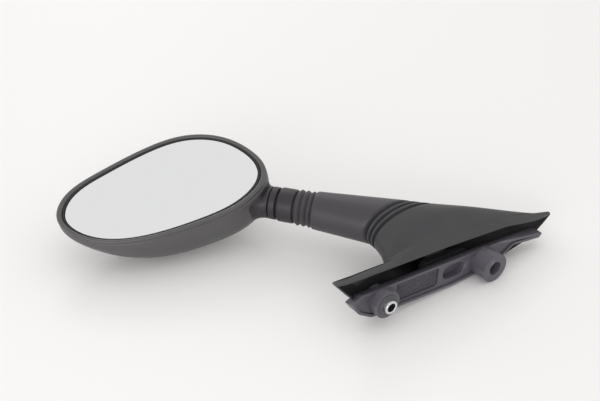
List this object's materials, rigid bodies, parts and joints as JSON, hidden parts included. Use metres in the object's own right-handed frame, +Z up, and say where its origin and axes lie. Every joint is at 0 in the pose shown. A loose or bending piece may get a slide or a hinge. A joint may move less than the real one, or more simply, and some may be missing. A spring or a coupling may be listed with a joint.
{
  "type": "motorcycle fairing mirror",
  "caption": "Egg-shaped rear-view mirror on a short tapering arm with a rubber boot and a narrow two-boss mounting plate; the head tilts on a ball joint in the pleated neck.",
  "frame": {"origin": "on the mounting plate's seating face, on the axis of the sleeved boss", "axes": "+X along the plate, towards its pointed end; -Y leaves the plate the way its bosses point; +Z up with the mirror lying glass up"},
  "size_m": [0.3169, 0.2258, 0.0617],
  "materials": {
    "plate_plastic": "moulded, satin",
    "plated_steel": "zinc plated",
    "grommet_rubber": "moulded",
    "pad_rubber": "pebbled",
    "boot_rubber": "matte, slightly waxy",
    "arm_plastic": "fine moulded grain",
    "cast_alloy": "as cast",
    "ground_steel": "ground",
    "liner_acetal": "moulded acetal",
    "bellows_rubber": "matte",
    "neck_plastic": "fine moulded grain",
    "washer_rubber": "matte",
    "shell_plastic": "fine moulded grain",
    "silvered_glass": "first-surface bright",
    "seal_rubber": "matte",
    "foam_pad": "closed-cell foam",
    "carrier_plastic": "moulded"
  },
  "bodies": {
    "base": {"mount_plate": "plate_plastic", "mount_sleeve": "plated_steel", "sleeve_grommet": "grommet_rubber", "seating_pad": "pad_rubber", "base_boot": "boot_rubber", "arm_cover": "arm_plastic", "arm_core": "cast_alloy", "arm_screws": "plated_steel", "ball_stud": "ground_steel", "neck_bellows": "bellows_rubber"},
    "liner": {"ball_liner": "liner_acetal"},
    "head": {"socket_collar": "cast_alloy", "ball_socket": "cast_alloy", "neck_ferrule": "neck_plastic", "neck_washer": "washer_rubber", "neck_ring": "neck_plastic", "head_washer": "washer_rubber", "neck_nut": "plated_steel", "head_shell": "shell_plastic", "mirror_glass": "silvered_glass", "glass_seal": "seal_rubber", "glass_pad": "foam_pad", "glass_carrier": "carrier_plastic", "carrier_screws": "plated_steel"}
  },
  "joints": [
    {"name": "head_swing", "type": "hinge", "parent": "base", "child": "liner", "pos_m": [0.01203, 0.10116, 0.0145], "axis": [0, 0, 1], "range_deg": [-10, 10]},
    {"name": "head_nod", "type": "hinge", "parent": "liner", "child": "head", "pos_m": [0.01203, 0.10116, 0.0145], "axis": [0.809, 0.5878, 0], "range_deg": [-10, 10], "deforming": ["neck_bellows"]}
  ]
}
